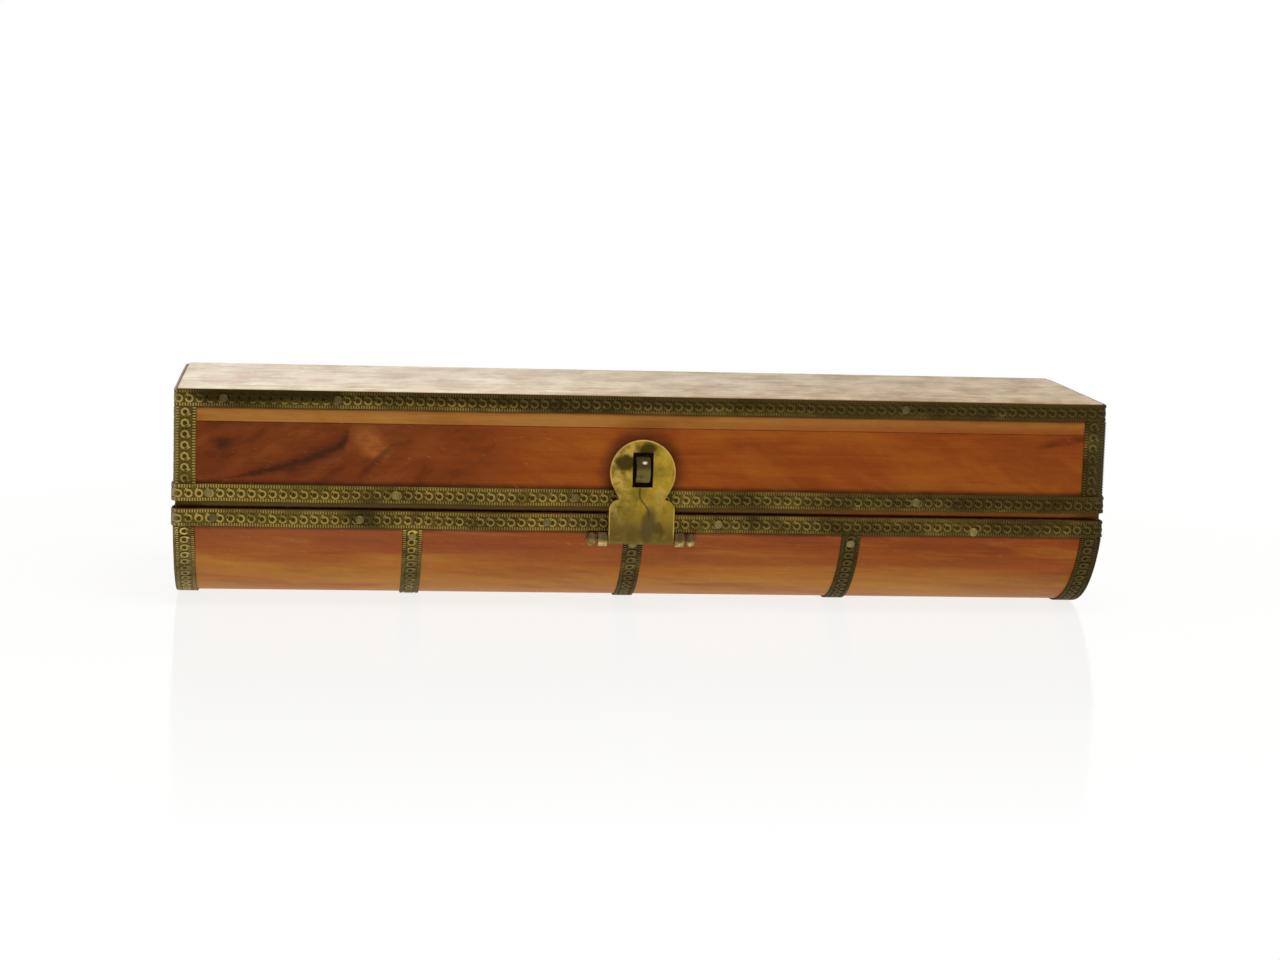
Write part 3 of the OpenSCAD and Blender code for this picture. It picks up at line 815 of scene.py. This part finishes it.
def route(start, heading, *legs):
    """A flat path of straight legs, given by length, and bends, given by (radius, angle), that turn left.

    Returns its length, where it needs a crossing line, and a function from a distance along it to the
    point there and the direction that points to its right."""
    stretches = []
    point, gone = Vector(start), 0.0
    for leg in legs:
        radius, angle = leg if isinstance(leg, tuple) else (0.0, 0.0)
        length = radius * angle if radius else leg
        stretches.append((gone, length, point.copy(), heading, radius))
        if radius:
            centre = point - radius * right_of(heading)
            heading += angle
            point = centre + radius * right_of(heading)
        else:
            point = point + length * pointing(heading)
        gone += length

    def at(distance):
        reached = [stretch for stretch in stretches if distance >= stretch[0] - 1e-9]
        begin, _, origin, way, radius = reached[-1] if reached else stretches[0]
        if radius:
            centre = origin - radius * right_of(way)
            way += (distance - begin) / radius
            spot = centre + radius * right_of(way)
        else:
            spot = origin + (distance - begin) * pointing(way)
        return spot, right_of(way)

    lines = []
    for begin, length, _, _, radius in stretches:
        cuts = max(1, math.ceil(length / radius / BEND_STEP)) if radius else 1
        lines += [begin + length * k / cuts for k in range(cuts)]
    return gone, lines + [gone], at


def strip_body(width, lines):
    """The ribbon's own strip, laid flat along X: a flat field between two raised rails."""
    half = width / 2
    side = [(half - RAIL_WIDTH, FIELD_Z), (half - RAIL_WIDTH * 0.8, RAIL_Z),
            (half - RAIL_WIDTH * 0.25, RAIL_Z), (half, RAIL_Z * 0.7), (half, 0)]
    outline = [(-y, z) for y, z in reversed(side)] + side
    bm = bmesh.new()
    corners = [bm.verts.new((lines[0], y, z)) for y, z in outline]
    edges = [bm.edges.new((a, b)) for a, b in zip(corners, corners[1:] + corners[:1])]
    bmesh.ops.contextual_create(bm, geom=edges)
    section = edges
    for before, after in zip(lines, lines[1:]):
        grown = bmesh.ops.extrude_edge_only(bm, edges=section)["geom"]
        section = [g for g in grown if isinstance(g, bmesh.types.BMEdge)]
        moved = [g for g in grown if isinstance(g, bmesh.types.BMVert)]
        bmesh.ops.translate(bm, verts=moved, vec=(after - before, 0, 0))
    bmesh.ops.contextual_create(bm, geom=section)
    return bm


def ridge(bm, centre, radius, turn, steps):
    """A raised line with a flat crest, bent round a centre from the centre's +X side through a turn."""
    foot, crest = RIDGE_WIDTH / 2, CREST_WIDTH / 2
    section = [(radius - foot, RIDGE_FOOT_Z), (radius - crest, RIBBON_THICKNESS),
               (radius + crest, RIBBON_THICKNESS), (radius + foot, RIDGE_FOOT_Z)]
    corners = [bm.verts.new((r, 0, height)) for r, height in section]
    edges = [bm.edges.new((a, b)) for a, b in zip(corners, corners[1:] + corners[:1])]
    bmesh.ops.translate(bm, verts=corners, vec=centre)
    closed = abs(turn) > 2 * math.pi - 0.01
    made = bmesh.ops.spin(bm, geom=corners + edges, cent=centre, axis=(0, 0, 1), angle=turn, steps=steps,
                          use_merge=closed, use_duplicate=False)
    if not closed:
        last = [g for g in made["geom_last"] if isinstance(g, bmesh.types.BMEdge)]
        bmesh.ops.contextual_create(bm, geom=edges)
        bmesh.ops.contextual_create(bm, geom=last)


def scroll_cell(width, pitch):
    """One repeat of the stamping: a ring with a stem and a hollow, and the ribs of both edges."""
    bm = bmesh.new()
    ridge(bm, Vector((0, RING_DROP, 0)), RING_RADIUS, 2 * math.pi, 8)
    ridge(bm, Vector((RING_RADIUS - TAIL_RADIUS, RING_DROP, 0)), TAIL_RADIUS, -TAIL_TURN, 2)
    pit = Matrix.Translation((0, RING_DROP, FIELD_Z + PIT_LIFT))
    bmesh.ops.create_circle(bm, cap_ends=True, cap_tris=False, segments=6, radius=PIT_RADIUS, matrix=pit)
    rib_shape = Matrix.Diagonal((RIB_WIDTH, RIB_LENGTH, RIBBON_THICKNESS - RIDGE_FOOT_Z, 1))
    rib_shape = rib_shape @ Matrix.Rotation(math.pi / 4, 4, "Z")
    rib_middle = (RIDGE_FOOT_Z + RIBBON_THICKNESS) / 2
    for side in (-1, 1):
        for k in range(RIBS_PER_SCROLL):
            x = (k + 0.5 - RIBS_PER_SCROLL / 2) * pitch / RIBS_PER_SCROLL
            spot = Matrix.Translation((x, side * (width - RIB_LENGTH) / 2, rib_middle))
            bmesh.ops.create_cone(bm, cap_ends=True, cap_tris=False, segments=4, radius1=math.sqrt(0.5),
                                  radius2=0.5, depth=1, matrix=spot @ rib_shape)
    return bm


def repeat_along(bm, count, pitch):
    """Repeats what is in a bmesh along X, by doubling it, and drops the copies past the count."""
    made = 1
    while made < count:
        copy = bmesh.ops.duplicate(bm, geom=bm.verts[:] + bm.edges[:] + bm.faces[:])["geom"]
        bmesh.ops.translate(bm, verts=[g for g in copy if isinstance(g, bmesh.types.BMVert)],
                            vec=(made * pitch, 0, 0))
        made *= 2
    past = [v for v in bm.verts if v.co.x > (count - 0.5) * pitch + 0.001]
    bmesh.ops.delete(bm, geom=past, context="VERTS")


def pour_in(bm, part):
    """Adds what is in another bmesh, and frees that one."""
    spare = bpy.data.meshes.new("spare")
    part.to_mesh(spare)
    part.free()
    bm.from_mesh(spare)
    bpy.data.meshes.remove(spare)


def ribbon_run(width, path, origin, across, along, beyond, flat=False, laps=()):
    """A length of stamped ribbon laid on a path.

    The path lies in the plane of the directions along and beyond. The ribbon's width runs across that
    plane and its face points to the path's right, or if it is flat the other way round. It is lifted by
    its own thickness wherever it laps over another ribbon, at the distances in laps."""
    length, lines, at = path
    count = max(1, round(length / SCROLL_PITCH))
    pitch = length / count
    bm = scroll_cell(width, pitch)
    repeat_along(bm, count, pitch)
    bmesh.ops.translate(bm, verts=bm.verts, vec=(pitch / 2, 0, 0))
    pour_in(bm, strip_body(width, lines))
    relief = bm.verts.layers.float.new("relief")
    for v in bm.verts:
        u, side, height = v.co
        above = height - FIELD_Z
        in_pit = abs(above - PIT_LIFT) < PIT_LIFT / 2
        v[relief] = PIT_RELIEF if in_pit else max(0.0, above / (RIBBON_THICKNESS - FIELD_Z))
        side += WAVE * math.sin(u * 2 * math.pi / WAVE_LENGTH) * math.sin(math.pi * u / length)
        on_path = min(max(u, 0.0), length)
        spot, right = at(on_path)
        ahead = Vector((-right.y, right.x))
        near = min((abs(u - lap) for lap in laps), default=LAP_REACH)
        height += RIBBON_THICKNESS * max(0.0, min(1.0, (LAP_REACH - near) / LAP_SLOPE))
        in_plane, out_plane = (side, height) if flat else (height, side)
        spot = spot + right * in_plane + ahead * (u - on_path)
        v.co = (origin + along * spot.x + beyond * spot.y + across * out_plane) * MM
    return bm


def lay_ribbon(name, runs, body, node):
    """One piece of ribbon made of its runs."""
    whole = bmesh.new()
    whole.verts.layers.float.new("relief")
    for run in runs:
        bmesh.ops.recalc_face_normals(run, faces=run.faces)
        pour_in(whole, run)
    new_piece(name, finished_mesh(whole, name, 50), ribbon, body, "ribbon", node)


def ribbon_ring(node, name, body, laps=True):
    """A ribbon round all four sides, with its ends meeting at the middle of the back.

    Where it laps, it passes over the upright ribbons at the corners."""
    low, high = node_box(node)
    long_leg = 2 * (HALF_LENGTH - FOLD_RADIUS)
    short_leg = 2 * (HALF_DEPTH - FOLD_RADIUS)
    bend = (FOLD_RADIUS, math.pi / 2)
    length, lines, at = route((0, HALF_DEPTH), math.pi, long_leg / 2, bend, short_leg, bend, long_leg,
                              bend, short_leg, bend, long_leg / 2)
    fold = FOLD_RADIUS * math.pi / 2
    corners = [(long_leg + fold) / 2, (long_leg + fold) / 2 + short_leg + fold]
    corners += [length - c for c in corners]
    lines = sorted(lines + [c + away for c in corners for away in LAP_LINES])
    run = ribbon_run(high.z - low.z, (length, lines, at), Z * (low.z + high.z) / 2, Z, X, Y,
                     laps=corners if laps else ())
    lay_ribbon(name, [run], body, node)


def barrel_path(radius):
    start = (radius * math.cos(ARCH_START), radius * math.sin(ARCH_START))
    return route(start, ARCH_START + math.pi / 2, (radius, ARCH_SWEEP))


def ribbon_strap(node, name):
    """A ribbon over the barrel, from the back's rim ribbon to the front's."""
    low, high = node_box(node)
    centre = X * (low.x + high.x) / 2 + Z * BARREL_CENTRE_Z
    run = ribbon_run(STRAP_WIDTH, barrel_path(BARREL_RADIUS), centre, X, Y, Z)
    lay_ribbon(name, [run], "lid", node)


def ribbon_arch(node, name, side):
    """A ribbon over the barrel's end, and the half of it that is folded down over the end board."""
    over = ribbon_run(STRAP_WIDTH, barrel_path(BARREL_RADIUS),
                      X * side * (HALF_LENGTH - STRAP_WIDTH / 2) + Z * BARREL_CENTRE_Z, X, Y, Z)
    fold_width = ARCH_FOLD + RIBBON_THICKNESS
    fold = ribbon_run(fold_width, barrel_path(BARREL_RADIUS + RIBBON_THICKNESS - fold_width / 2),
                      X * side * HALF_LENGTH + Z * BARREL_CENTRE_Z, X * side, Y, Z, flat=True)
    lay_ribbon(name, [over, fold], "lid", node)


def ribbon_corner(node, name, x_side, y_side):
    """A ribbon folded down its length round an upright corner."""
    low, high = node_box(node)
    tall = high.z - low.z
    up = route((0, 0), 0, tall)
    face = ribbon_run(CORNER_WIDTH, up,
                      Vector((x_side * (HALF_LENGTH - CORNER_WIDTH / 2), y_side * HALF_DEPTH, low.z)),
                      X, Z, -Y * y_side)
    end = ribbon_run(CORNER_WIDTH, up,
                     Vector((x_side * HALF_LENGTH, y_side * (HALF_DEPTH - CORNER_WIDTH / 2), low.z)),
                     Y, Z, -X * x_side)
    lay_ribbon(name, [face, end], "base", node)


# ---------------------------------------------------------------- floors, world and lamps

FLOOR_SIZE = 6.0                      # half its width, in metres
WHITE_FROM, WHITE_TO = 60, 260        # how far from the object the floor turns white
FLOOR_GREY = (0.085, 0.085, 0.085, 1)
FLOOR_GLOW = (1, 0.995, 0.98, 1)
SOFT_LIGHT = (1, 0.99, 0.97, 1)
WHITE = (1, 1, 1, 1)


def floor_plane(name, level, faces_up):
    """A pale floor that only the camera sees, and only from the side that the object stands on.

    Near the object it takes a soft shadow and a faint reflection, and further off it turns into the
    white backdrop."""
    shader = Shader(name)
    back = shader.add("ShaderNodeNewGeometry", output="Backfacing")
    seen = shader.add("ShaderNodeLightPath", output="Is Camera Ray")
    x, y, _ = shader.axes()
    beside = (abs(x) - HALF_LENGTH).higher(0)
    before = (abs(y) - HALF_DEPTH).higher(0)
    far = (beside + before).step(WHITE_FROM, WHITE_TO)
    matt = shader.add("ShaderNodeBsdfDiffuse", {}, {"Color": FLOOR_GREY})
    sheen = shader.add("ShaderNodeBsdfGlossy", {}, {"Color": FLOOR_GREY, "Roughness": 0.1})
    glow = shader.add("ShaderNodeEmission", {}, {"Color": FLOOR_GLOW, "Strength": 0.83})
    pale = shader.add("ShaderNodeAddShader", {}, {0: matt, 1: glow})
    pale = shader.add("ShaderNodeAddShader", {}, {0: pale, 1: sheen})
    white = shader.add("ShaderNodeEmission", {}, {"Color": WHITE, "Strength": 1.0})
    floor = shader.add("ShaderNodeMixShader", {}, {"Fac": far, 1: pale, 2: white})
    clear = shader.add("ShaderNodeBsdfTransparent")
    surface = shader.add("ShaderNodeMixShader", {}, {"Fac": seen * (1 - back), 1: clear, 2: floor})
    shader.add("ShaderNodeOutputMaterial", {}, {"Surface": surface})
    bm = bmesh.new()
    bmesh.ops.create_grid(bm, x_segments=1, y_segments=1, size=FLOOR_SIZE)
    if not faces_up:
        bmesh.ops.reverse_faces(bm, faces=bm.faces)
    bmesh.ops.translate(bm, verts=bm.verts, vec=(0, 0, level * MM))
    mesh = bpy.data.meshes.new(name)
    bm.to_mesh(mesh)
    bm.free()
    mesh.materials.append(shader.material)
    plane = bpy.data.objects.new(name, mesh)
    bpy.context.collection.objects.link(plane)
    return plane


def set_world():
    """Soft even light, with a white backdrop for the camera, in reflections and through glass."""
    world = bpy.data.worlds.new("studio")
    world.use_nodes = True
    bpy.context.scene.world = world
    nodes = Nodes(world.node_tree)
    camera, glossy, through = (nodes.add("ShaderNodeLightPath", output=ray)
                               for ray in ("Is Camera Ray", "Is Glossy Ray", "Is Transmission Ray"))
    soft = nodes.add("ShaderNodeBackground", {}, {"Color": SOFT_LIGHT, "Strength": 0.5})
    white = nodes.add("ShaderNodeBackground", {}, {"Color": WHITE, "Strength": 1.0})
    mix = nodes.add("ShaderNodeMixShader", {},
                    {"Fac": camera.higher(glossy).higher(through), 1: soft, 2: white})
    nodes.add("ShaderNodeOutputWorld", {}, {"Surface": mix})


LAMP_AIM = Vector((0, 0, 0.03))       # the case's middle, in metres


def add_lamp(name, place, size, power):
    """A soft square lamp that points at the object, placed in metres."""
    data = bpy.data.lights.new(name, "AREA")
    data.size = size
    data.energy = power
    lamp = bpy.data.objects.new(name, data)
    bpy.context.collection.objects.link(lamp)
    place = Vector(place)
    aim = (LAMP_AIM - place).to_track_quat("-Z", "Y")
    lamp.matrix_world = Matrix.LocRotScale(place, aim, None)


# ---------------------------------------------------------------- the scene

add_camera()
bpy.context.scene.view_settings.view_transform = "Standard"
set_world()
add_lamp("lamp_above", (0.15, -0.45, 0.85), size=0.5, power=6)
add_lamp("lamp_below", (-0.15, -0.45, -0.8), size=0.5, power=6)
floor_plane("desk", 0.0, faces_up=True)
rest_floor = floor_plane("barrel_rest", CROWN_Z + RIBBON_THICKNESS, faces_up=False)
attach(rest_floor, "lid")

front_wood = varnished_wood("front_wood", marks=front_wall_marks, **RED_WOOD)
wall_wood = varnished_wood("wall_wood", **RED_WOOD)
end_wood = varnished_wood("end_wood", along="Y", **RED_WOOD)
barrel_wood = varnished_wood("barrel_wood", marks=lid_marks, **RED_WOOD)
board_wood = varnished_wood("board_wood", marks=board_marks, **PALE_WOOD)
ribbon = stamped_ribbon()
hasp_finish = hasp_brass()
fitting_brass = aged_brass("fitting_brass", FITTING_BRASS, 4, 0.4)
bead_brass = aged_brass("bead_brass", BEAD_BRASS, 2.4, 0.45, metallic=0.2, specular=0.1,
                        darker_below=(36.7, 38.0))
nail_brass = aged_brass("nail_brass", NAIL_BRASS, 22, 0.55, metallic=0.25, specular=0.08,
                        darker_below=(-2, 7), rubbed=rubbed_nails)
# the staple: painted shade on its lower part, and a painted glint
staple_metal = aged_brass("staple_metal", STAPLE_METAL, 3.5, 0.55, metallic=0.1, specular=0.02,
                          darker_below=(17.6, 19.3), glint=STAPLE_PAINTED_GLINT)

softened("base_floor", "bottom_board", board_wood, "base", "pale_wood", rounding=0.4)
softened("base_front_wall", "front_wall", front_wood, "base", "wood", rounding=0.35)
softened("base_back_wall", "back_wall", wall_wood, "base", "wood", rounding=0.35)
for part in ("left", "right"):
    softened(f"base_{part}_end", f"{part}_end_board", end_wood, "base", "wood", rounding=0.35)
softened("lid_barrel_panel", "barrel", barrel_wood, "lid", "wood", rounding=0.35)
for part in ("left", "right"):
    softened(f"lid_{part}_end", f"lid_{part}_board", end_wood, "lid", "wood", rounding=0.2)

ribbon_ring("base_foot_band", "foot_ribbon", "base", laps=False)
ribbon_ring("base_rim_band", "rim_ribbon", "base")
ribbon_ring("lid_rim_band", "lid_ribbon", "lid")
for part in ("left", "middle", "right"):
    ribbon_strap(f"lid_strap_{part}", f"strap_{part}")
for part, x_side in (("left", -1), ("right", 1)):
    ribbon_arch(f"lid_arch_{part}", f"arch_{part}", x_side)
    for face, y_side in (("front", -1), ("back", 1)):
        ribbon_corner(f"base_corner_{face}_{part}", f"corner_{face}_{part}", x_side, y_side)

softened("hasp_plate", "hasp", hasp_finish, "hasp", "hasp_brass", rounding=0.22)
softened("staple", "staple_loop", staple_metal, "base", "fittings", rounding=0.25)
beaded_pin("hasp_pin", "hasp_pin_beads", bead_brass, "lid", "fittings")
for part in ("left", "right"):
    softened(f"hasp_eyelet_{part}", f"eyelet_{part}", bead_brass, "lid", "fittings", rounding=0.5,
             segments=4)
    for node, name, body in (("base_hinge_leaf", "base_leaf", "base"),
                             ("lid_hinge_leaf", "lid_leaf", "lid"),
                             ("hinge_pin", "hinge_rod", "base")):
        softened(f"{node}_{part}", f"{name}_{part}", fitting_brass, body, "fittings", rounding=0.15)
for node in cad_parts:
    if node.endswith("_nails"):
        dress(node, nail_brass)
